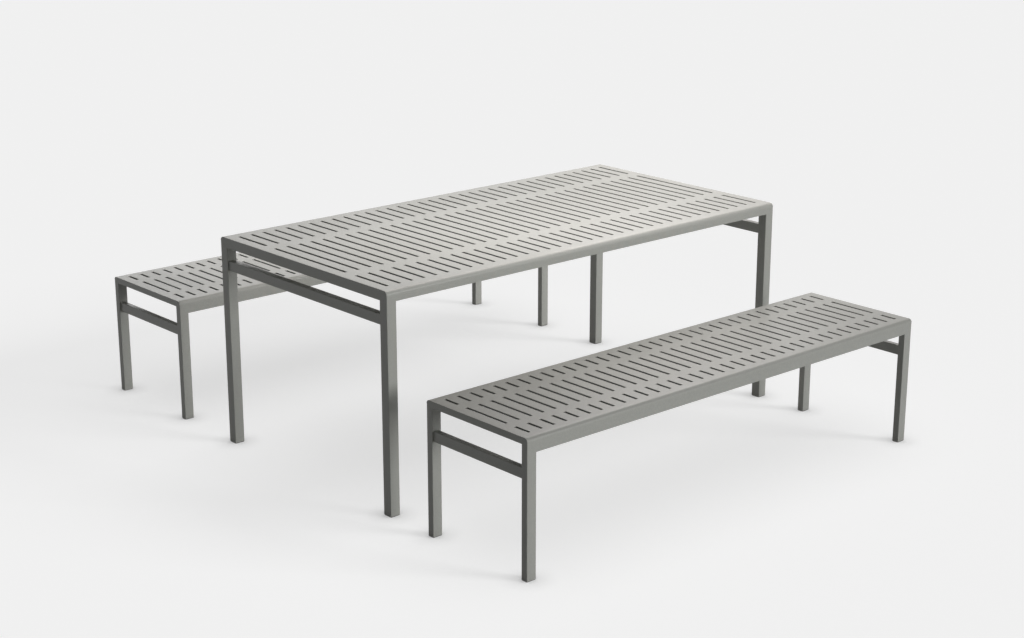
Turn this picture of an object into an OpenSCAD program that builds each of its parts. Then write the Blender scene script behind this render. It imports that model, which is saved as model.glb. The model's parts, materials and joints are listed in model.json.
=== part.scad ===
// Steel picnic table with a free-standing bench along each of its two long sides.
// The table top and the bench seats are slotted steel sheets with folded long sides.
// Each sheet is welded on two end frames of rectangular tube: legs, end rail and cross rail.
// Millimetres. The origin lies on the floor, in the middle of the whole set.
// X runs along the table and the benches, Y across them, and Z up.
// Left and right are the ends at -X and +X, front and back are the sides at -Y and +Y.

/* [Table] */
// Length of the table top, along X
table_l = 1800; // [1200:10:2400]
// Width of the table top, along Y
table_w = 930; // [740:5:1200]
// Height of the table top above the floor
table_h = 750; // [680:5:900]
// Size of a table leg along X
table_leg_x = 37; // [30:1:60]
// Size of a table leg along Y
table_leg_y = 37; // [30:1:60]
// Height of the table's folded sides, with the sheet
table_apron = 37; // [25:1:80]
// Height of the table's end faces above the legs' opening, with the sheet
table_end = 36; // [25:1:80]
// Height of the table's cross rails
table_rail_h = 35; // [20:1:60]
// Depth of the table's cross rails, along X
table_rail_d = 25; // [15:1:28]
// How far the table's cross rails stand back from the legs' end faces
table_rail_set = 5; // [1:0.5:10]
// Clear height between the table's end rails and cross rails
table_rail_gap = 46; // [20:1:400]
// Outside radius of the table's folded sides
table_fold = 15; // [8:0.5:20]
// Length of the long slots in the table's middle row
table_slot_long = 400; // [100:5:480]
// Width of the solid strips beside the table's outer slots
table_strip = 50; // [30:1:60]

/* [Benches] */
// Length of a bench seat, along X
bench_l = 1800; // [1200:10:2400]
// Width of a bench seat, along Y
bench_w = 460; // [420:5:600]
// Height of a bench seat above the floor
bench_h = 450; // [400:5:520]
// Size of a bench leg along X
bench_leg_x = 36; // [30:1:60]
// Size of a bench leg along Y
bench_leg_y = 25; // [20:1:60]
// Height of the benches' folded sides, with the sheet
bench_apron = 49; // [25:1:80]
// Height of the benches' end faces above the legs' opening, with the sheet
bench_end = 23; // [18:1:80]
// Height of the benches' cross rails
bench_rail_h = 35; // [20:1:60]
// Depth of the benches' cross rails, along X
bench_rail_d = 20; // [15:1:24]
// How far the benches' cross rails stand back from the legs' end faces
bench_rail_set = 6; // [1:0.5:10]
// Clear height between the benches' end rails and cross rails
bench_rail_gap = 75; // [20:1:250]
// Outside radius of the benches' folded sides
bench_fold = 12; // [8:0.5:18]
// Length of the long slots in a seat's middle row
bench_slot_long = 184; // [60:2:200]
// Width of the solid strips beside a seat's outer slots
bench_strip = 38; // [30:1:45]

/* [Sheets] */
// Thickness of the slotted sheets
sheet_t = 6; // [2:0.5:7]
// Number of slots in a row
slot_count = 36; // [12:1:44]
// Width of a slot
slot_w = 11; // [6:0.5:14]
// Corner radius of a slot
slot_r = 1.5; // [0.5:0.25:2.5]
// Distance from the end rails to the first slots
slot_land = 0.5; // [0:0.5:30]

/* [Tubes and ribs] */
// Wall of the tubes
tube_wall = 2; // [1.5:0.25:3]
// Outside radius of the tubes' long edges
tube_r = 2; // [0.5:0.25:4]
// Width of the angle ribs' flanges under the sheets
rib_w = 25; // [12:1:28]
// Thickness of the angle ribs
rib_t = 3; // [2:0.5:5]

/* [Foot glides] */
// Thickness of a glide's head, between tube and floor
glide_t = 2; // [1:0.5:8]
// How far a glide's head stays inside the tube's outline
glide_inset = 1; // [0:0.25:2]
// Length of a glide's plug inside the tube
glide_plug = 20; // [8:1:40]
// Clearance between a glide's plug and the tube's walls
glide_gap = 0.2; // [0.05:0.05:0.5]

/* [Placing] */
// Clear distance between the table's front side and the front bench
front_gap = 189; // [20:1:500]
// Clear distance between the table's back side and the back bench
back_gap = 295; // [20:1:500]

/* [Hidden] */
$fn = 48;
// Overlap of a cutting tool beyond what it cuts
eps = 1;

// Places in a frame's list of sizes
LENGTH = 0;
WIDTH = 1;
HEIGHT = 2;
LEG_X = 3;
LEG_Y = 4;
APRON = 5;
END = 6;
RAIL_H = 7;
RAIL_D = 8;
RAIL_SET = 9;
RAIL_GAP = 10;
FOLD = 11;
SLOT_LONG = 12;
STRIP = 13;
CENTRE_Y = 14;

TABLE = [
    table_l, table_w, table_h, table_leg_x, table_leg_y, table_apron, table_end,
    table_rail_h, table_rail_d, table_rail_set, table_rail_gap, table_fold,
    table_slot_long, table_strip, (front_gap - back_gap) / 2
];
function bench(centre_y) = [
    bench_l, bench_w, bench_h, bench_leg_x, bench_leg_y, bench_apron, bench_end,
    bench_rail_h, bench_rail_d, bench_rail_set, bench_rail_gap, bench_fold,
    bench_slot_long, bench_strip, centre_y
];
FRONT_BENCH = bench(TABLE[CENTRE_Y] - table_w / 2 - front_gap - bench_w / 2);
BACK_BENCH = bench(TABLE[CENTRE_Y] + table_w / 2 + back_gap + bench_w / 2);

// Each frame's name and sizes
FRAMES = [["table", TABLE], ["front_bench", FRONT_BENCH], ["back_bench", BACK_BENCH]];
// Each end's name and its direction along X
ENDS = [["left", -1], ["right", 1]];
// Each side's name and its direction along Y
SIDES = [["front", -1], ["back", 1]];

// Middle of the solid strip between a frame's slot rows, from its centre line
function strip_y(f) = (f[SLOT_LONG] + f[STRIP]) / 2;
// Outer end of a frame's short slots, from its centre line
function short_end(f) = f[WIDTH] / 2 - f[STRIP];
// Length of a frame's short slots
function short_slot(f) = short_end(f) - f[SLOT_LONG] / 2 - f[STRIP];
// Middle of a leg along X and Y, for the directions of its end and its side
function leg_at(f, end, side) = [
    end * (f[LENGTH] - f[LEG_X]) / 2,
    side * (f[WIDTH] - f[LEG_Y]) / 2
];

// Rectangle with rounded corners, about the origin
module round_rect(x, y, r) {
    square([x - 2 * r, y], center = true);
    square([x, y - 2 * r], center = true);
    for (sx = [-1, 1], sy = [-1, 1])
        translate([sx * (x / 2 - r), sy * (y / 2 - r)])
            circle(r);
}

// Cross section of a tube, about the origin
module tube_section(x, y) {
    difference() {
        round_rect(x, y, tube_r);
        square([x - 2 * tube_wall, y - 2 * tube_wall], center = true);
    }
}

// Extrudes a drawing of Y and Z along X, from one end to the other
module along_x(from, to) {
    translate([from, 0, 0])
        rotate([90, 0, 90])
            linear_extrude(to - from)
                children();
}

// Puts a frame's pieces at the frame's place on the floor
module placed(f) {
    translate([0, f[CENTRE_Y], 0])
        children();
}

// Outline in Y and Z of a folded sheet's skin, drawn in by a distance
module fold_outline(f, bottom, inset) {
    half = f[WIDTH] / 2;
    bend_z = f[HEIGHT] - f[FOLD];
    translate([-half + inset, bottom])
        square([2 * (half - inset), bend_z - bottom]);
    translate([-half + f[FOLD], bottom])
        square([2 * (half - f[FOLD]), f[HEIGHT] - inset - bottom]);
    for (side = [-1, 1])
        translate([side * (half - f[FOLD]), bend_z])
            circle(f[FOLD] - inset);
}

// Outline in Y and Z of the space that a sheet covers over the legs
module covered_outline(f) {
    half = f[WIDTH] / 2;
    translate([-half, 0])
        square([2 * half, f[HEIGHT] - f[FOLD]]);
    fold_outline(f, 0, sheet_t);
}

// Outline in Y and Z of the end rail's share of the mitred corners
module mitre_outline(f) {
    low = f[HEIGHT] - f[END];
    inner = f[WIDTH] / 2 - f[LEG_Y];
    reach = f[END] + eps;
    polygon([
        [-inner, low], [inner, low],
        [inner + reach, low + reach], [-inner - reach, low + reach]
    ]);
}

// One row of slots, cut through the sheet
module slot_row(f, length) {
    first = f[LEG_X] + slot_land + slot_w / 2 - f[LENGTH] / 2;
    pitch = -2 * first / (slot_count - 1);
    for (i = [0 : slot_count - 1])
        translate([first + i * pitch, 0])
            round_rect(slot_w, length, slot_r);
}

// All the slots of a sheet
module slots(f) {
    translate([0, 0, f[HEIGHT] - sheet_t - eps])
        linear_extrude(sheet_t + 2 * eps) {
            slot_row(f, f[SLOT_LONG]);
            for (side = [-1, 1])
                translate([0, side * (short_end(f) - short_slot(f) / 2)])
                    slot_row(f, short_slot(f));
        }
}

// Slotted sheet with its long sides folded down between the legs
module sheet(f) {
    low = f[HEIGHT] - f[APRON];
    color([0.62, 0.62, 0.59])
        placed(f)
            difference() {
                along_x(-f[LENGTH] / 2, f[LENGTH] / 2)
                    difference() {
                        fold_outline(f, low, 0);
                        fold_outline(f, low - eps, sheet_t);
                    }
                slots(f);
                for (end = [-1, 1])
                    translate([end * (f[LENGTH] - f[LEG_X] + eps) / 2, 0, low - eps])
                        translate([-(f[LEG_X] + eps) / 2, -f[WIDTH] / 2 - eps, 0])
                            cube([f[LEG_X] + eps, f[WIDTH] + 2 * eps, f[APRON] - f[FOLD] + eps]);
            }
}

// Angle rib under the solid strip between two slot rows, its web on the outer side
module rib(f, side) {
    web = f[END] - sheet_t;
    color([0.5, 0.5, 0.47])
        placed(f)
            translate([0, side * strip_y(f), f[HEIGHT] - sheet_t])
                along_x(f[LEG_X] - f[LENGTH] / 2, f[LENGTH] / 2 - f[LEG_X]) {
                    translate([-rib_w / 2, -rib_t])
                        square([rib_w, rib_t]);
                    translate([side * (rib_w - rib_t) / 2 - rib_t / 2, -web])
                        square([rib_t, web]);
                }
}

// Tube across the top of an end frame, mitred into the legs
module end_rail(f, end) {
    height = f[END] - sheet_t;
    color([0.56, 0.56, 0.53])
        placed(f)
            intersection() {
                translate([end * (f[LENGTH] - f[LEG_X]) / 2, 0, f[HEIGHT] - sheet_t - height / 2])
                    rotate([90, 0, 0])
                        linear_extrude(f[WIDTH], center = true)
                            difference() {
                                union() {
                                    round_rect(f[LEG_X], height, tube_r);
                                    translate([-f[LEG_X] / 2, 0])
                                        square([f[LEG_X], height / 2]);
                                }
                                square([f[LEG_X] - 2 * tube_wall, height - 2 * tube_wall], center = true);
                            }
                along_x(-f[LENGTH] / 2 - eps, f[LENGTH] / 2 + eps)
                    intersection() {
                        covered_outline(f);
                        mitre_outline(f);
                    }
            }
}

// Tube between the two legs of an end frame, below the end rail
module cross_rail(f, end) {
    middle = f[LENGTH] / 2 - f[RAIL_SET] - f[RAIL_D] / 2;
    color([0.54, 0.54, 0.51])
        placed(f)
            translate([end * middle, 0, f[HEIGHT] - f[END] - f[RAIL_GAP] - f[RAIL_H] / 2])
                rotate([90, 0, 0])
                    linear_extrude(f[WIDTH] - 2 * f[LEG_Y], center = true)
                        tube_section(f[RAIL_D], f[RAIL_H]);
}

// Leg tube, shaped at its top to the sheet's fold and to the end rail's mitre
module leg(f, end, side) {
    at = leg_at(f, end, side);
    low = f[HEIGHT] - f[APRON];
    color([0.56, 0.56, 0.53])
        placed(f)
            difference() {
                intersection() {
                    union() {
                        translate([at.x, at.y, glide_t])
                            linear_extrude(f[HEIGHT] - sheet_t - glide_t)
                                tube_section(f[LEG_X], f[LEG_Y]);
                        // The edge beside the folded side is square, ground flush with it
                        translate([
                            at.x - end * (f[LEG_X] - tube_r) / 2,
                            at.y + side * (f[LEG_Y] - tube_r) / 2,
                            low + (f[APRON] - f[FOLD]) / 2
                        ])
                            cube([tube_r, tube_r, f[APRON] - f[FOLD]], center = true);
                    }
                    along_x(-f[LENGTH] / 2 - eps, f[LENGTH] / 2 + eps)
                        covered_outline(f);
                }
                along_x(-f[LENGTH] / 2 - eps, f[LENGTH] / 2 + eps)
                    mitre_outline(f);
            }
}

// Plastic glide pressed into the foot of a leg
module glide(f, end, side) {
    at = leg_at(f, end, side);
    plug = 2 * (tube_wall + glide_gap);
    head = 2 * glide_inset;
    color([0.12, 0.12, 0.12])
        placed(f)
            translate([at.x, at.y, 0]) {
                linear_extrude(glide_t)
                    round_rect(f[LEG_X] - head, f[LEG_Y] - head, tube_r);
                translate([0, 0, glide_t])
                    linear_extrude(glide_plug)
                        square([f[LEG_X] - plug, f[LEG_Y] - plug], center = true);
            }
}

for (frame = FRAMES) {
    name = frame[0];
    f = frame[1];
    sheet(f);
    for (side = SIDES)
        rib(f, side[1]);
    for (end = ENDS) {
        end_rail(f, end[1]);
        cross_rail(f, end[1]);
    }
    for (side = SIDES, end = ENDS) {
        corner = str(side[0], "_", end[0]);
        leg(f, end[1], side[1]);
        glide(f, end[1], side[1]);
    }
}
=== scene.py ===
"""Looks of a steel picnic table and its two loose benches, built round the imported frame.

The frame gives every piece its size and place, in metres: X runs along the table, Y across it
from the front bench to the back bench, and Z up from the floor. The tubes, ribs and glides
keep their own meshes and get a finish. The slotted sheets are modelled again with deburred
edges, and the stitch welds under them are added.
"""

import json
import logging
import math
from collections.abc import Iterable, Iterator
from dataclasses import dataclass
from enum import Enum

import bmesh
import bpy
from bmesh.types import BMEdge, BMesh, BMFace, BMVert
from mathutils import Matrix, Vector


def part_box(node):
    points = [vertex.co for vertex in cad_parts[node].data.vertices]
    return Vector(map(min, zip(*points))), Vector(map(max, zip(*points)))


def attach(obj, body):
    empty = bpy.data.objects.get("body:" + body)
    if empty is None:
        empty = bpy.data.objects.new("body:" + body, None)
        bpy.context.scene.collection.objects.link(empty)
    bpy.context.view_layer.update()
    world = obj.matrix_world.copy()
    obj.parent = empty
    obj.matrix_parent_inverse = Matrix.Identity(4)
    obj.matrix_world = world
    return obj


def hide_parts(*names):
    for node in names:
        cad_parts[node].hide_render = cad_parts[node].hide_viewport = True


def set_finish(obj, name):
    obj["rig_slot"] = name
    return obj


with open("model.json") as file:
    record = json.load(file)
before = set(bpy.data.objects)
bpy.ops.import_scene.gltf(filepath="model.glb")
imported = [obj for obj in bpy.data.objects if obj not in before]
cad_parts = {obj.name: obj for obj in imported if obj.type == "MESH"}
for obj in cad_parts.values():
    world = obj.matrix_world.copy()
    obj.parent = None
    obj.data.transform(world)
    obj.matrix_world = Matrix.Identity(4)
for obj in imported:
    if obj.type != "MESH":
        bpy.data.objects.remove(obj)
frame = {"nodes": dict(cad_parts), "record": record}

LOG = logging.getLogger("picnic_table")
# Two places nearer than this are the same, in metres
NEAR = 1e-6
# Two lengths nearer than this are the same on a bent face
NEAR_ON_FOLD = 1e-5
QUARTER_TURN = math.pi / 2
UP = Vector((0, 0, 1))
# Attributes that are 1 on the deburred edges and on the slots' walls
RIM_MARK = "rim"
SLOT_MARK = "slot_wall"

Colour = tuple[float, float, float]
Value = bpy.types.NodeSocket | Colour | float
Sockets = bpy.types.bpy_prop_collection
Geometry = list[BMVert | BMEdge | BMFace]

WARM: Colour = (1.0, 0.945, 0.93)
WHITE: Colour = (1.0, 1.0, 1.0)
# Surfaces that the soft boxes hang over
TABLE_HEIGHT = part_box("table_sheet")[1].z
SEAT_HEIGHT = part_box("front_bench_sheet")[1].z


class Slot(Enum):
    """The record's material slots."""

    SHEET = "sheet_steel"
    FRAME = "frame_steel"
    GLIDE = "glide_plastic"


def verts_in(geometry: Geometry) -> list[BMVert]:
    """Gives the vertices among some geometry."""
    return [item for item in geometry if isinstance(item, BMVert)]


def edges_in(geometry: Geometry) -> list[BMEdge]:
    """Gives the edges among some geometry."""
    return [item for item in geometry if isinstance(item, BMEdge)]


def add_piece(name: str, mesh_edit: BMesh, body: str, slot: Slot) -> bpy.types.Object:
    """Turns a finished bmesh into a piece that rides on a body.

    Args:
        name: Name of the piece.
        mesh_edit: The bmesh, which is freed here.
        body: Body of the frame that the piece rides on.
        slot: Material slot that its finish belongs to.

    Returns:
        The new object, at the origin, with its place in its mesh.
    """
    bmesh.ops.recalc_face_normals(mesh_edit, faces=mesh_edit.faces)
    mesh = bpy.data.meshes.new(name)
    mesh_edit.to_mesh(mesh)
    mesh_edit.free()
    piece = bpy.data.objects.new(name, mesh)
    bpy.context.scene.collection.objects.link(piece)
    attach(piece, body)
    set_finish(piece, slot.value)
    return piece


@dataclass
class SlottedSheet:
    """A slotted steel sheet, its two long sides folded down between the legs."""

    body: str
    fold_radius: float
    long_slot: float
    strip: float
    thickness: float = 0.006
    slot_count: int = 36
    slot_width: float = 0.011
    slot_radius: float = 0.0015
    slot_land: float = 0.0005
    # Radius of the deburred edges
    burr_radius: float = 0.0003
    burr_steps: int = 2
    corner_steps: int = 3
    fold_steps: int = 10
    # A face this near to level or upright belongs to a flat or a wall
    level_slope: float = 0.05
    # Edges that turn by more than this stay sharp
    sharp_deg: float = 50.0

    def __post_init__(self) -> None:
        """Reads the sheet's place from the frame."""
        low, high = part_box(f"{self.body}_sheet")
        leg_low, leg_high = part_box(f"{self.body}_leg_front_left")
        self.half_x = (high.x - low.x) / 2
        self.half_y = (high.y - low.y) / 2
        self.centre_y = (high.y + low.y) / 2
        self.top = high.z
        self.apron_low = low.z
        self.leg = leg_high.x - leg_low.x

    @property
    def bend_y(self) -> float:
        """Distance from the centre line to a fold's axis."""
        return self.half_y - self.fold_radius

    @property
    def bend_z(self) -> float:
        """Height of the folds' axes."""
        return self.top - self.fold_radius

    def build(self) -> bpy.types.Object:
        """Models the sheet and puts it in its node's place.

        Returns:
            The finished piece.
        """
        sheet = bmesh.new()
        self.cut_slots(sheet)
        for inset in (0.0, self.thickness):
            self.bend_sides(sheet, inset)
            self.close_flat(sheet, self.top - inset)
        rims = [edge for edge in sheet.edges if edge.is_boundary]
        bmesh.ops.bridge_loops(sheet, edges=rims)
        bmesh.ops.recalc_face_normals(sheet, faces=sheet.faces)
        self.deburr(sheet)
        bmesh.ops.translate(sheet, verts=sheet.verts, vec=(0, self.centre_y, 0))
        piece = add_piece(f"{self.body}_slotted_sheet", sheet, self.body, Slot.SHEET)
        self.shade(piece)
        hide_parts(f"{self.body}_sheet")
        return piece

    def rim_profile(self) -> list[tuple[float, float]]:
        """Gives a slot's wall from top to bottom, as steps outwards and heights."""
        angles = [QUARTER_TURN * i / self.burr_steps for i in range(self.burr_steps + 1)]
        upper = [
            (
                self.burr_radius * (1 - math.sin(angle)),
                self.top - self.burr_radius * (1 - math.cos(angle)),
            )
            for angle in angles
        ]
        lower = [(out, 2 * self.top - self.thickness - z) for out, z in reversed(upper)]
        return upper + lower

    def slot_wall(self, sheet: BMesh, length: float) -> Geometry:
        """Models the wall of one slot, about the Z axis.

        Args:
            sheet: The bmesh to add it to.
            length: Length of the slot along Y.

        Returns:
            Everything that was added.
        """
        profile = self.rim_profile()
        out, z = profile[0]
        ring = bmesh.ops.create_grid(sheet, x_segments=1, y_segments=1, size=0.5)["verts"]
        size = (self.slot_width + 2 * out, length + 2 * out, 1.0)
        bmesh.ops.scale(sheet, verts=ring, vec=size)
        ring = bmesh.ops.bevel(
            sheet, geom=ring, offset=self.slot_radius + out, offset_type="OFFSET",
            segments=self.corner_steps, profile=0.5, affect="VERTICES", material=-1,
        )["verts"]
        bmesh.ops.translate(sheet, verts=ring, vec=UP * z)
        caps = list({face for vert in ring for face in vert.link_faces})
        bmesh.ops.delete(sheet, geom=caps, context="FACES_ONLY")
        edges = list({edge for vert in ring for edge in vert.link_edges})
        made: Geometry = [*ring, *edges]
        for next_out, next_z in profile[1:]:
            added = bmesh.ops.extrude_edge_only(sheet, edges=edges)["geom"]
            ring = verts_in(added)
            edges = [e for e in edges_in(added) if all(vert in ring for vert in e.verts)]
            shrink = (
                (self.slot_width + 2 * next_out) / (self.slot_width + 2 * out),
                (length + 2 * next_out) / (length + 2 * out),
                1.0,
            )
            bmesh.ops.scale(sheet, verts=ring, vec=shrink)
            bmesh.ops.translate(sheet, verts=ring, vec=UP * (next_z - z))
            out, z = next_out, next_z
            made += added
        return made

    def cut_slots(self, sheet: BMesh) -> None:
        """Adds the walls of all the slots, in a long row between two short ones."""
        first = self.leg + self.slot_land + self.slot_width / 2 - self.half_x
        pitch = -2 * first / (self.slot_count - 1)
        outer_end = self.half_y - self.strip
        short_slot = outer_end - self.long_slot / 2 - self.strip
        short_y = outer_end - short_slot / 2
        for length, y in ((self.long_slot, 0.0), (short_slot, short_y), (short_slot, -short_y)):
            wall = self.slot_wall(sheet, length)
            bmesh.ops.translate(sheet, verts=verts_in(wall), vec=(first, y, 0))
            for i in range(1, self.slot_count):
                copy = bmesh.ops.duplicate(sheet, geom=wall)["geom"]
                bmesh.ops.translate(sheet, verts=verts_in(copy), vec=(i * pitch, 0, 0))

    def bend_sides(self, sheet: BMesh, inset: float) -> None:
        """Bends both long sides of a skin down, with the aprons only between the legs.

        Args:
            sheet: The bmesh to add it to.
            inset: How far the skin lies inside the sheet's outer surface.
        """
        inner_x = self.half_x - self.leg
        stations = (-self.half_x, -inner_x, inner_x, self.half_x)
        ends = []
        for side in (-1, 1):
            line = [
                sheet.verts.new((x, side * self.bend_y, self.top - inset)) for x in stations
            ]
            edges = [sheet.edges.new(pair) for pair in zip(line, line[1:])]
            bent = bmesh.ops.spin(
                sheet, geom=edges, cent=(0, side * self.bend_y, self.bend_z), axis=(1, 0, 0),
                angle=-side * QUARTER_TURN, steps=self.fold_steps, use_duplicate=False,
            )["geom_last"]
            middle = [
                edge for edge in edges_in(bent)
                if all(abs(vert.co.x) < inner_x + NEAR for vert in edge.verts)
            ]
            apron = bmesh.ops.extrude_edge_only(sheet, edges=middle)["geom"]
            drop = UP * (self.apron_low - self.bend_z)
            bmesh.ops.translate(sheet, verts=verts_in(apron), vec=drop)
            ends.append((line[0], line[-1]))
        for front, back in zip(*ends):
            sheet.edges.new((front, back))

    def close_flat(self, sheet: BMesh, z: float) -> None:
        """Fills the flat between the folds and round the slots, at a height."""
        open_edges = [
            edge for edge in sheet.edges
            if len(edge.link_faces) < 2 and all(abs(v.co.z - z) < NEAR for v in edge.verts)
        ]
        bmesh.ops.triangle_fill(
            sheet, edges=open_edges, use_beauty=True, use_dissolve=False, normal=UP
        )

    def on_outside(self, vert: BMVert) -> bool:
        """Tells whether a vertex lies on the top or on the outside of a fold."""
        across = abs(vert.co.y) - self.bend_y
        rise = vert.co.z - self.bend_z
        if across < NEAR:
            return abs(vert.co.z - self.top) < NEAR
        return rise > -NEAR and abs(math.hypot(across, rise) - self.fold_radius) < NEAR_ON_FOLD

    def deburr(self, sheet: BMesh) -> None:
        """Rounds the sheet's ends and the aprons' feet, and marks every rounded edge."""
        rims = []
        for edge in sheet.edges:
            at_end = all(abs(abs(vert.co.x) - self.half_x) < NEAR for vert in edge.verts)
            at_foot = all(abs(vert.co.z - self.apron_low) < NEAR for vert in edge.verts)
            if at_end and all(self.on_outside(vert) for vert in edge.verts):
                rims.append(edge)
            elif at_foot and edge.calc_length() > 2 * self.thickness:
                rims.append(edge)
        rounded = bmesh.ops.bevel(
            sheet, geom=rims, offset=self.burr_radius, offset_type="OFFSET",
            segments=self.burr_steps, profile=0.5, affect="EDGES", material=-1,
        )["faces"]
        walls = []
        for face in sheet.faces:
            centre = face.calc_center_median()
            at_slot = abs(centre.y) < self.bend_y - NEAR and abs(centre.x) < self.half_x - self.leg
            if at_slot and abs(face.normal.z) < self.level_slope:
                walls.append(face)
            elif at_slot and abs(face.normal.z) < 1 - self.level_slope:
                rounded.append(face)
        for title, faces in ((RIM_MARK, rounded), (SLOT_MARK, walls)):
            mark = sheet.loops.layers.float.new(title)
            for loop in (loop for face in faces for loop in face.loops):
                loop[mark] = 1.0

    def shade(self, piece: bpy.types.Object) -> None:
        """Shades folds and deburred edges smooth, and keeps the flats flat."""
        piece.data.shade_smooth()
        piece.data.set_sharp_from_angle(angle=math.radians(self.sharp_deg))
        weighted = piece.modifiers.new("flat_faces_lead", "WEIGHTED_NORMAL")
        weighted.keep_sharp = True


@dataclass
class StitchWelds:
    """Short fillet welds that hold the angle ribs under a sheet."""

    body: str
    length: float = 0.028
    leg: float = 0.0032
    pitch: float = 0.19
    ripples: int = 9
    ripple_depth: float = 0.06
    steps: int = 36
    sides: int = 10
    # How square the bead's ends are, and their least share of its section
    end_power: int = 8
    end_share: float = 0.02

    def bead(self, welds: BMesh) -> Geometry:
        """Models one rippled bead along X, about the origin.

        Args:
            welds: The bmesh to add it to.

        Returns:
            The bead.
        """
        ring = bmesh.ops.create_circle(welds, segments=self.sides, radius=1.0)["verts"]
        along_x = Vector((0, 0, 1)).rotation_difference(Vector((1, 0, 0))).to_matrix()
        bmesh.ops.rotate(welds, verts=ring, cent=(0, 0, 0), matrix=along_x)
        edges = list({edge for vert in ring for edge in vert.link_edges})
        radii = [self.radius_at(i / self.steps) for i in range(self.steps + 1)]
        bmesh.ops.scale(welds, verts=ring, vec=(1, radii[0], radii[0]))
        bmesh.ops.translate(welds, verts=ring, vec=(-self.length / 2, 0, 0))
        bmesh.ops.contextual_create(welds, geom=edges)
        for radius, last in zip(radii[1:], radii):
            added = bmesh.ops.extrude_edge_only(welds, edges=edges)["geom"]
            ring = verts_in(added)
            edges = [e for e in edges_in(added) if all(vert in ring for vert in e.verts)]
            bmesh.ops.translate(welds, verts=ring, vec=(self.length / self.steps, 0, 0))
            bmesh.ops.scale(welds, verts=ring, vec=(1, radius / last, radius / last))
        bmesh.ops.contextual_create(welds, geom=edges)
        return [*welds.verts, *welds.edges, *welds.faces]

    def radius_at(self, share: float) -> float:
        """Gives the bead's radius at a share of its length: round ends, rippled between."""
        ends = math.sqrt(max(1 - (2 * share - 1) ** self.end_power, self.end_share))
        ripple = 1 + self.ripple_depth * math.cos(2 * math.pi * self.ripples * share)
        return self.leg * ends * ripple

    def places(self) -> Iterator[Vector]:
        """Gives the middle of each bead, in the corners between the ribs and the sheet."""
        for side in ("front", "back"):
            low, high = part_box(f"{self.body}_rib_{side}")
            count = math.floor((high.x - low.x - self.pitch / 2) / self.pitch)
            for y in (low.y, high.y):
                for i in range(count + 1):
                    yield Vector(((i - count / 2) * self.pitch, y, high.z))

    def build(self) -> bpy.types.Object:
        """Models every weld of a frame as one piece.

        Returns:
            The finished piece.
        """
        welds = bmesh.new()
        bead = self.bead(welds)
        first, *others = self.places()
        for place in others:
            copy = bmesh.ops.duplicate(welds, geom=bead)["geom"]
            bmesh.ops.translate(welds, verts=verts_in(copy), vec=place)
        bmesh.ops.translate(welds, verts=verts_in(bead), vec=first)
        piece = add_piece(f"{self.body}_rib_welds", welds, self.body, Slot.FRAME)
        piece.data.shade_smooth()
        return piece


@dataclass
class SteelFrame:
    """The table or a bench: its slotted sheet, its tubes, ribs and glides."""

    body: str
    fold_radius: float
    long_slot: float
    strip: float

    def build(self) -> list[bpy.types.Object]:
        """Models what is new and gathers what the frame gives.

        Returns:
            Every visible piece of this frame.
        """
        sheet = SlottedSheet(self.body, self.fold_radius, self.long_slot, self.strip)
        made = [sheet.build(), StitchWelds(self.body).build()]
        kept = [
            frame["nodes"][row["node"]] for row in frame["record"]["subparts"]
            if row["node"].startswith(self.body) and not row["node"].endswith("_sheet")
        ]
        return made + kept


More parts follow.
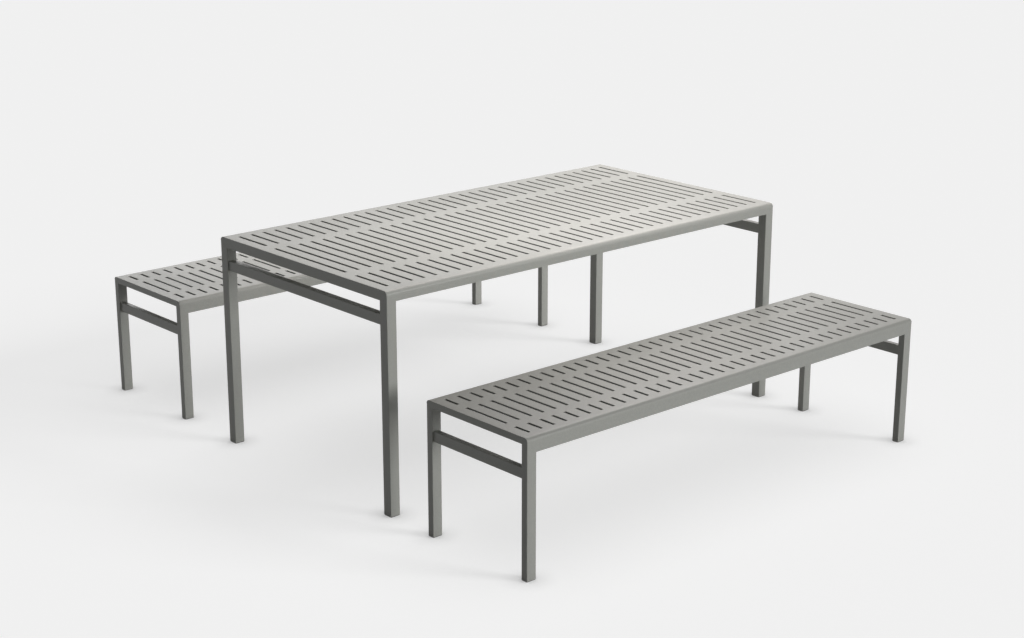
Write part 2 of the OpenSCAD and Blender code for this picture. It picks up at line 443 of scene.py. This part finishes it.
@dataclass
class NodeKit:
    """Adds the nodes of one tree and links them."""

    tree: bpy.types.NodeTree

    def feed(self, value: Value, socket: bpy.types.NodeSocket) -> None:
        """Links a socket to another one, or sets it to a number."""
        if isinstance(value, bpy.types.NodeSocket):
            self.tree.links.new(value, socket)
        else:
            socket.default_value = value

    def place(self) -> bpy.types.NodeSocket:
        """Gives the place on the object, in metres."""
        return self.tree.nodes.new("ShaderNodeTexCoord").outputs["Object"]

    def math(self, operation: str, first: Value, second: Value) -> bpy.types.NodeSocket:
        """Adds a sum of two values, and gives its result."""
        node = self.tree.nodes.new("ShaderNodeMath")
        node.operation = operation
        self.feed(first, node.inputs[0])
        self.feed(second, node.inputs[1])
        return node.outputs[0]

    def noise(self, scale: Value, detail: float, distortion: float = 0.0) -> bpy.types.NodeSocket:
        """Adds a cloudy pattern that lies still on the object.

        Args:
            scale: How many clouds there are to a metre.
            detail: How many finer layers there are.
            distortion: How much the clouds are drawn out.

        Returns:
            The pattern, from 0 to 1.
        """
        node = self.tree.nodes.new("ShaderNodeTexNoise")
        self.feed(self.place(), node.inputs["Vector"])
        self.feed(scale, node.inputs["Scale"])
        node.inputs["Detail"].default_value = detail
        node.inputs["Distortion"].default_value = distortion
        return node.outputs["Fac"]

    def ramp(self, value: Value, low: Value, high: Value) -> bpy.types.NodeSocket:
        """Adds a smooth step from 0 at the low value to 1 at the high one."""
        node = self.tree.nodes.new("ShaderNodeMapRange")
        node.interpolation_type = "SMOOTHSTEP"
        self.feed(value, node.inputs["Value"])
        self.feed(low, node.inputs["From Min"])
        self.feed(high, node.inputs["From Max"])
        return node.outputs["Result"]

    def swing(self, pattern: bpy.types.NodeSocket, width: Value) -> bpy.types.NodeSocket:
        """Turns a pattern into a factor that swings about 1 by a width."""
        centred = self.math("SUBTRACT", pattern, 0.5)
        return self.math("ADD", self.math("MULTIPLY", centred, width), 1.0)

    def tinted(self, colour: Value, gain: Value) -> bpy.types.NodeSocket:
        """Adds a colour that is made lighter or darker by a factor."""
        node = self.tree.nodes.new("ShaderNodeVectorMath")
        node.operation = "SCALE"
        self.feed(colour, node.inputs[0])
        self.feed(gain, node.inputs["Scale"])
        return node.outputs[0]

    def group(
        self, tree: bpy.types.NodeTree, settings: tuple[tuple[str, float], ...]
    ) -> bpy.types.Node:
        """Places a shared group with this material's own settings.

        Args:
            tree: The group's nodes.
            settings: Names of its inputs with their values.

        Returns:
            The group's node.
        """
        node = self.tree.nodes.new("ShaderNodeGroup")
        node.node_tree = tree
        for title, value in settings:
            node.inputs[title].default_value = value
        return node

    def blend(
        self, share: Value, base: bpy.types.NodeSocket, cover: Colour
    ) -> bpy.types.NodeSocket:
        """Adds a colour that covers another one by a share."""
        node = self.tree.nodes.new("ShaderNodeMix")
        node.data_type = "RGBA"
        self.feed(share, node.inputs["Factor"])
        self.feed(base, node.inputs[6])
        node.inputs[7].default_value = (*cover, 1.0)
        return node.outputs[2]


@dataclass(frozen=True, kw_only=True)
class Pattern:
    """A shader group that several finishes share."""

    name: str
    inputs: tuple[tuple[str, float], ...]
    outputs: tuple[str, ...]

    def build(self) -> bpy.types.NodeTree:
        """Makes the group, with its sockets and its nodes.

        Returns:
            The finished node tree.
        """
        tree = bpy.data.node_groups.new(self.name, "ShaderNodeTree")
        for title, value in self.inputs:
            socket = tree.interface.new_socket(
                title, in_out="INPUT", socket_type="NodeSocketFloat"
            )
            socket.default_value = value
        for title in self.outputs:
            tree.interface.new_socket(title, in_out="OUTPUT", socket_type="NodeSocketFloat")
        given = tree.nodes.new("NodeGroupInput")
        made = tree.nodes.new("NodeGroupOutput")
        self.fill(NodeKit(tree), given.outputs, made.inputs)
        return tree

    def fill(self, kit: NodeKit, given: Sockets, made: Sockets) -> None:
        """Adds the group's own nodes between its inputs and its outputs."""
        raise NotImplementedError


@dataclass(frozen=True, kw_only=True)
class CoatGrain(Pattern):
    """Grain, orange peel, specks, uneven tone and wiped patches of a skin."""

    name: str = "coat_grain"
    inputs: tuple[tuple[str, float], ...] = (
        ("Grain Scale", 1200.0), ("Peel Scale", 300.0), ("Speck Scale", 230.0),
        ("Specks", 0.1), ("Mottle", 0.05), ("Smudge", 0.2),
    )
    outputs: tuple[str, ...] = ("Shade", "Gloss", "Height")
    # Height of the grain as a share of the orange peel's
    grain_height: float = 0.35
    # Clouds to a metre in the uneven tone and in the wiped patches
    cloud_scale: float = 7.0
    wipe_scale: float = 3.5
    # Levels of the noise between which a wiped patch fades out
    wipe_edges: tuple[float, float] = (0.35, 0.65)
    # Share of the wiped patches in the gloss. The grain makes up the rest
    wipe_share: float = 0.7

    def fill(self, kit: NodeKit, given: Sockets, made: Sockets) -> None:
        """Adds the skin's patterns."""
        grain = kit.noise(given["Grain Scale"], detail=2.0)
        peel = kit.noise(given["Peel Scale"], detail=1.0)
        fine = kit.math("MULTIPLY", grain, self.grain_height)
        kit.feed(kit.math("ADD", fine, peel), made["Height"])

        specks = kit.swing(kit.noise(given["Speck Scale"], detail=3.0), given["Specks"])
        cloud = kit.swing(kit.noise(self.cloud_scale, detail=5.0), given["Mottle"])
        kit.feed(kit.math("MULTIPLY", specks, cloud), made["Shade"])

        smears = kit.noise(self.wipe_scale, detail=4.0, distortion=0.6)
        wiped = kit.math("MULTIPLY", kit.ramp(smears, *self.wipe_edges), self.wipe_share)
        rest = kit.math("MULTIPLY", grain, 1 - self.wipe_share)
        kit.feed(kit.swing(kit.math("ADD", wiped, rest), given["Smudge"]), made["Gloss"])


@dataclass(frozen=True, kw_only=True)
class FootScuff(Pattern):
    """Dust and small knocks close to the floor."""

    name: str = "foot_scuff"
    inputs: tuple[tuple[str, float], ...] = (("Reach", 0.06), ("Amount", 0.3))
    outputs: tuple[str, ...] = ("Mask",)
    patch_scale: float = 90.0
    # Levels of the noise between which a patch fades in
    patch_edges: tuple[float, float] = (0.42, 0.62)

    def fill(self, kit: NodeKit, given: Sockets, made: Sockets) -> None:
        """Adds patches that fade out with the height."""
        height = kit.tree.nodes.new("ShaderNodeSeparateXYZ")
        kit.feed(kit.place(), height.inputs[0])
        near_floor = kit.math("SUBTRACT", 1.0, kit.ramp(height.outputs["Z"], 0.0, given["Reach"]))
        smears = kit.noise(self.patch_scale, detail=6.0, distortion=0.4)
        patches = kit.ramp(smears, *self.patch_edges)
        share = kit.math("MULTIPLY", near_floor, patches)
        kit.feed(kit.math("MULTIPLY", share, given["Amount"]), made["Mask"])


@dataclass(frozen=True, kw_only=True)
class MarkedPatches(Pattern):
    """Patches on the faces that the mesh marks, such as rubbed edges or painted shade on the
    slots' walls.
    """

    mark: str
    patch_scale: float
    # How much further up the noise a patch is at its full strength
    patch_fade: float = 0.25
    inputs: tuple[tuple[str, float], ...] = (("Bareness", 0.4), ("Amount", 0.3))
    outputs: tuple[str, ...] = ("Mask",)

    def fill(self, kit: NodeKit, given: Sockets, made: Sockets) -> None:
        """Adds patches on the marked faces, fewer where more is left bare."""
        marked = kit.tree.nodes.new("ShaderNodeAttribute")
        marked.attribute_name = self.mark
        full = kit.math("ADD", given["Bareness"], self.patch_fade)
        patches = kit.ramp(kit.noise(self.patch_scale, detail=4.0), given["Bareness"], full)
        share = kit.math("MULTIPLY", marked.outputs["Fac"], patches)
        kit.feed(kit.math("MULTIPLY", share, given["Amount"]), made["Mask"])


@dataclass(frozen=True)
class Cover:
    """Something that lies over a finish in places: dust, a rubbed rim or painted shade in a slot.
    """

    pattern: Pattern
    colour: Colour
    # How much rougher the covered places are, as a factor
    roughening: float
    settings: tuple[tuple[str, float], ...]


@dataclass(frozen=True)
class Finish:
    """A finish: powder coat on steel, or moulded plastic."""

    slot: Slot
    colour: Colour
    roughness: float
    relief: float
    skin: tuple[tuple[str, float], ...]
    covers: tuple[Cover, ...] = ()

    def build(self, groups: dict[str, bpy.types.NodeTree]) -> bpy.types.Material:
        """Makes the material.

        Args:
            groups: The shared shader groups by name.

        Returns:
            The finished material, named after its slot.
        """
        material = bpy.data.materials.new(f"{self.slot.value}_finish")
        material.use_nodes = True
        kit = NodeKit(material.node_tree)
        shader = kit.tree.nodes["Principled BSDF"]
        skin = kit.group(groups[SKIN.name], self.skin)
        colour = kit.tinted(self.colour, skin.outputs["Shade"])
        roughness = kit.math("MULTIPLY", skin.outputs["Gloss"], self.roughness)
        for cover in self.covers:
            mask = kit.group(groups[cover.pattern.name], cover.settings).outputs["Mask"]
            colour = kit.blend(mask, colour, cover.colour)
            rise = kit.math("MULTIPLY", mask, cover.roughening - 1.0)
            roughness = kit.math("MULTIPLY", roughness, kit.math("ADD", rise, 1.0))
        bump = kit.tree.nodes.new("ShaderNodeBump")
        bump.inputs["Strength"].default_value = 1.0
        bump.inputs["Distance"].default_value = self.relief
        kit.feed(skin.outputs["Height"], bump.inputs["Height"])
        kit.feed(colour, shader.inputs["Base Color"])
        kit.feed(roughness, shader.inputs["Roughness"])
        kit.feed(bump.outputs["Normal"], shader.inputs["Normal"])
        return material


SKIN = CoatGrain()
SCUFF = FootScuff()
RIM_WEAR = MarkedPatches(name="rim_wear", mark=RIM_MARK, patch_scale=45.0)
# Painted shade: the slots' walls are darkened in patches to stand for the shade inside the slots
PAINTED_SLOT_SHADE = MarkedPatches(name="slot_grime", mark=SLOT_MARK, patch_scale=60.0)
PATTERNS = (SKIN, SCUFF, RIM_WEAR, PAINTED_SLOT_SHADE)
# Warm grey powder coat, as on all the steel
STEEL_COAT: Colour = (0.386, 0.392, 0.362)
FINISHES = (
    Finish(
        Slot.SHEET, STEEL_COAT, 0.40, 0.00004,
        skin=(("Peel Scale", 280.0), ("Specks", 0.28), ("Mottle", 0.06), ("Smudge", 0.20)),
        covers=(
            Cover(RIM_WEAR, (0.47, 0.47, 0.45), 0.85, (("Amount", 0.30),)),
            # Painted shade: the slots' walls turn near black in patches, and rougher, to look
            # shaded
            Cover(PAINTED_SLOT_SHADE, (0.12, 0.12, 0.11), 1.5, (("Bareness", 0.1), ("Amount", 0.6))),
        ),
    ),
    Finish(
        Slot.FRAME, STEEL_COAT, 0.40, 0.00004,
        skin=(("Peel Scale", 340.0), ("Specks", 0.22), ("Mottle", 0.06), ("Smudge", 0.20)),
        covers=(Cover(SCUFF, (0.30, 0.28, 0.25), 1.5, (("Reach", 0.05), ("Amount", 0.25))),),
    ),
    Finish(
        Slot.GLIDE, (0.02, 0.02, 0.02), 0.55, 0.00004,
        skin=(("Grain Scale", 2500.0), ("Peel Scale", 700.0), ("Specks", 0.3), ("Mottle", 0.15)),
        covers=(Cover(SCUFF, (0.20, 0.18, 0.16), 1.4, (("Reach", 0.004), ("Amount", 0.5))),),
    ),
)


class Lights(Enum):
    """What a lamp shines on."""

    FURNITURE = "furniture"
    FLOOR = "floor"


@dataclass(frozen=True, kw_only=True)
class Lamp:
    """A lamp of the studio."""

    name: str
    # Light that reaches the surface it is meant for, where 1 shows a white card as white
    level: float
    colour: Colour = WHITE
    shines_on: Lights = Lights.FURNITURE

    def bulb(self) -> bpy.types.Light:
        """Makes the light itself."""
        raise NotImplementedError

    def aim(self, lamp: bpy.types.Object) -> None:
        """Puts the lamp in its place and turns it."""
        raise NotImplementedError

    def build(self, groups: dict[Lights, bpy.types.Collection]) -> bpy.types.Object:
        """Hangs the lamp.

        Args:
            groups: The light group for each thing that a lamp can shine on.

        Returns:
            The lamp object.
        """
        lamp = bpy.data.objects.new(self.name, self.bulb())
        lamp.data.color = self.colour
        lamp.visible_camera = False
        self.aim(lamp)
        bpy.context.scene.collection.objects.link(lamp)
        lamp.light_linking.receiver_collection = groups[self.shines_on]
        return lamp


@dataclass(frozen=True, kw_only=True)
class FarLamp(Lamp):
    """A large soft lamp far away, by its direction."""

    azimuth_deg: float
    elevation_deg: float
    spread_deg: float

    def bulb(self) -> bpy.types.Light:
        """Makes the light itself."""
        light = bpy.data.lights.new(self.name, "SUN")
        light.angle = math.radians(self.spread_deg)
        light.energy = math.pi * self.level
        return light

    def aim(self, lamp: bpy.types.Object) -> None:
        """Turns the lamp so that its light comes from its direction."""
        azimuth, elevation = math.radians(self.azimuth_deg), math.radians(self.elevation_deg)
        outward = Vector((
            math.cos(azimuth) * math.cos(elevation),
            math.sin(azimuth) * math.cos(elevation),
            math.sin(elevation),
        ))
        lamp.location = outward
        lamp.rotation_euler = (-outward).to_track_quat("-Z", "Y").to_euler()


@dataclass(frozen=True, kw_only=True)
class CeilingBox(Lamp):
    """A flat softbox over the table or a bench that shines straight down."""

    place: Colour
    length: float
    width: float
    # Height of the surface that the level is given for
    lit_height: float = TABLE_HEIGHT

    def bulb(self) -> bpy.types.Light:
        """Makes the light itself."""
        light = bpy.data.lights.new(self.name, "AREA")
        light.shape = "RECTANGLE"
        light.size = self.length
        light.size_y = self.width
        light.energy = 4 * math.pi * (self.place[2] - self.lit_height) ** 2 * self.level
        return light

    def aim(self, lamp: bpy.types.Object) -> None:
        """Hangs the box, which shines down as it is."""
        lamp.location = self.place


LAMPS = (
    FarLamp(
        name="key", level=0.83, azimuth_deg=288, elevation_deg=4, spread_deg=35,
    ),
    FarLamp(
        name="back", level=0.2, azimuth_deg=75, elevation_deg=20, spread_deg=25,
    ),
    FarLamp(
        name="sheen", level=0.03, azimuth_deg=52, elevation_deg=21, spread_deg=25,
    ),
    CeilingBox(
        name="far_box", level=0.51, place=(2.0, 0.2, 1.8), length=1.0, width=0.8,
        colour=WARM,
    ),
    CeilingBox(
        name="right_box", level=0.96, place=(1.4, 0.4, 1.8), length=1.0, width=0.8,
        colour=WARM,
    ),
    CeilingBox(
        name="middle_box", level=0.52, place=(0.0, -0.1, 1.8), length=1.2, width=0.8,
        colour=WARM,
    ),
    CeilingBox(
        name="left_box", level=0.47, place=(-0.3, -0.2, 1.35), length=0.9, width=0.5,
        colour=WARM,
    ),
    CeilingBox(
        name="front_box", level=0.46, place=(0.2, -0.45, 1.35), length=0.9, width=0.5,
        colour=WARM,
    ),
    CeilingBox(
        name="front_seat_box", level=0.18, place=(0.0, -1.0, 0.85), length=1.1, width=0.3,
        lit_height=SEAT_HEIGHT,
    ),
    CeilingBox(
        name="back_seat_box", level=0.74, place=(-0.15, 1.15, 0.85), length=1.1, width=0.3,
        lit_height=SEAT_HEIGHT, colour=WARM,
    ),
    CeilingBox(
        name="fold_box", level=0.13, place=(1.6, -1.0, 1.8), length=0.8, width=0.5,
        colour=WARM,
    ),
    FarLamp(
        name="floor_ceiling", level=0.354, azimuth_deg=300, elevation_deg=78, spread_deg=80,
        shines_on=Lights.FLOOR,
    ),
    FarLamp(
        name="floor_side", level=0.45, azimuth_deg=304, elevation_deg=22, spread_deg=20,
        shines_on=Lights.FLOOR,
    ),
)


@dataclass
class Studio:
    """Camera, lamps, floor and background."""

    eye: Colour = (-4.2233, -4.8661, 2.3092)
    heading_deg: float = 48.569
    pitch_deg: float = 16.7845
    focal_px: float = 1847.5
    frame_px: int = 1024
    sensor: float = 36.0
    ambient: float = 0.01
    backdrop: float = 0.871
    floor_half: float = 60.0
    # Share of the floor's brightness that only the contact shadows take away
    floor_glow: float = 0.71
    floor_paint: float = 0.33
    # Light that reaches the open floor from the lamps and the world
    floor_light: float = 0.52
    # How far round a foot its contact shadow reaches, and its rays to a sample
    contact_reach: float = 0.08
    contact_rays: int = 4

    def build(self) -> None:
        """Makes the whole studio."""
        self.camera()
        self.world()
        groups = self.light_groups(self.floor())
        for lamp in LAMPS:
            lamp.build(groups)
        bpy.context.scene.view_settings.view_transform = "Standard"

    def camera(self) -> bpy.types.Object:
        """Sets the camera at the photograph's viewing angle.

        Returns:
            The camera object.
        """
        data = bpy.data.cameras.new("camera")
        data.sensor_width = self.sensor
        data.lens = self.focal_px / self.frame_px * self.sensor
        camera = bpy.data.objects.new("camera", data)
        heading, pitch = math.radians(self.heading_deg), math.radians(self.pitch_deg)
        ahead = Vector((
            math.cos(heading) * math.cos(pitch),
            math.sin(heading) * math.cos(pitch),
            -math.sin(pitch),
        ))
        camera.location = self.eye
        camera.rotation_euler = ahead.to_track_quat("-Z", "Y").to_euler()
        bpy.context.scene.collection.objects.link(camera)
        bpy.context.scene.camera = camera
        return camera

    def world(self) -> None:
        """Makes the even ambient light, and the pale background that the camera sees."""
        world = bpy.data.worlds.new("studio")
        bpy.context.scene.world = world
        world.use_nodes = True
        nodes = world.node_tree.nodes
        light = nodes["Background"]
        light.inputs["Strength"].default_value = self.ambient
        light.inputs["Color"].default_value = (*WHITE, 1.0)
        seen = nodes.new("ShaderNodeBackground")
        seen.inputs["Color"].default_value = (*(self.backdrop,) * 3, 1.0)
        self.show(world.node_tree, seen.outputs[0], light.outputs[0], nodes["World Output"])

    def show(
        self, tree: bpy.types.NodeTree, seen: bpy.types.NodeSocket,
        lighting: bpy.types.NodeSocket, output: bpy.types.Node,
    ) -> None:
        """Shows one shader to the camera and in gloss and glass, and lights with another.

        Args:
            tree: The material's or the world's nodes.
            seen: Shader that is seen.
            lighting: Shader that lights the furniture.
            output: The tree's output node.
        """
        kit = NodeKit(tree)
        path = tree.nodes.new("ShaderNodeLightPath").outputs
        direct = kit.math("ADD", path["Is Camera Ray"], path["Is Glossy Ray"])
        mix = tree.nodes.new("ShaderNodeMixShader")
        kit.feed(kit.math("ADD", direct, path["Is Transmission Ray"]), mix.inputs["Fac"])
        kit.feed(lighting, mix.inputs[1])
        kit.feed(seen, mix.inputs[2])
        kit.feed(mix.outputs[0], output.inputs["Surface"])

    def light_groups(self, floor: bpy.types.Object) -> dict[Lights, bpy.types.Collection]:
        """Groups the lamps' targets: all but the floor, and the floor alone.

        Args:
            floor: The floor.

        Returns:
            The collection for each thing that a lamp can shine on.
        """
        groups = {}
        for lights, state in ((Lights.FURNITURE, "EXCLUDE"), (Lights.FLOOR, "INCLUDE")):
            group = bpy.data.collections.new(f"{lights.value}_light")
            group.objects.link(floor)
            group.collection_objects[0].light_linking.link_state = state
            groups[lights] = group
        return groups

    def floor(self) -> bpy.types.Object:
        """Lays the pale floor, where a part of its brightness fades only close to the feet.

        Returns:
            The floor.
        """
        edit = bmesh.new()
        bmesh.ops.create_grid(edit, x_segments=1, y_segments=1, size=self.floor_half)
        mesh = bpy.data.meshes.new("floor")
        edit.to_mesh(mesh)
        edit.free()
        floor = bpy.data.objects.new("floor", mesh)
        bpy.context.scene.collection.objects.link(floor)
        material = bpy.data.materials.new("floor_paint")
        material.use_nodes = True
        nodes, links = material.node_tree.nodes, material.node_tree.links
        nodes.remove(nodes["Principled BSDF"])
        paint = nodes.new("ShaderNodeBsdfDiffuse")
        paint.inputs["Color"].default_value = (*(self.floor_paint,) * 3, 1.0)
        shaded = nodes.new("ShaderNodeBsdfDiffuse")
        lift = self.backdrop * (1 - self.floor_glow) / self.floor_light
        shaded.inputs["Color"].default_value = (lift, lift, lift, 1.0)
        open_air = nodes.new("ShaderNodeAmbientOcclusion")
        open_air.samples = self.contact_rays
        open_air.inputs["Distance"].default_value = self.contact_reach
        glow = nodes.new("ShaderNodeEmission")
        glow.inputs["Strength"].default_value = self.backdrop * self.floor_glow
        links.new(open_air.outputs["Color"], glow.inputs["Color"])
        seen = nodes.new("ShaderNodeAddShader")
        links.new(shaded.outputs[0], seen.inputs[0])
        links.new(glow.outputs[0], seen.inputs[1])
        output = nodes["Material Output"]
        self.show(material.node_tree, seen.outputs[0], paint.outputs[0], output)
        floor.data.materials.append(material)
        return floor


FRAMES = (
    SteelFrame("table", fold_radius=0.015, long_slot=0.400, strip=0.050),
    SteelFrame("front_bench", fold_radius=0.012, long_slot=0.184, strip=0.038),
    SteelFrame("back_bench", fold_radius=0.012, long_slot=0.184, strip=0.038),
)


def dress(pieces: Iterable[bpy.types.Object], finishes: dict[str, bpy.types.Material]) -> None:
    """Gives each piece the finish of its material slot.

    Args:
        pieces: The visible pieces.
        finishes: A material for each slot's name.
    """
    slots = {row["node"]: row["material_slot"] for row in frame["record"]["subparts"]}
    for piece in pieces:
        slot = piece.get("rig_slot") or slots[piece.name]
        piece.data.materials.clear()
        piece.data.materials.append(finishes[slot])
        LOG.info("%s: %s, %d faces", piece.name, slot, len(piece.data.polygons))


def main() -> None:
    """Builds and dresses the table and the benches, and the studio round them."""
    logging.basicConfig(level=logging.INFO, format="%(message)s")
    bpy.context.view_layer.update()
    groups = {pattern.name: pattern.build() for pattern in PATTERNS}
    finishes = {finish.slot.value: finish.build(groups) for finish in FINISHES}
    for steel_frame in FRAMES:
        dress(steel_frame.build(), finishes)
    Studio().build()


if __name__ == "__main__":
    main()
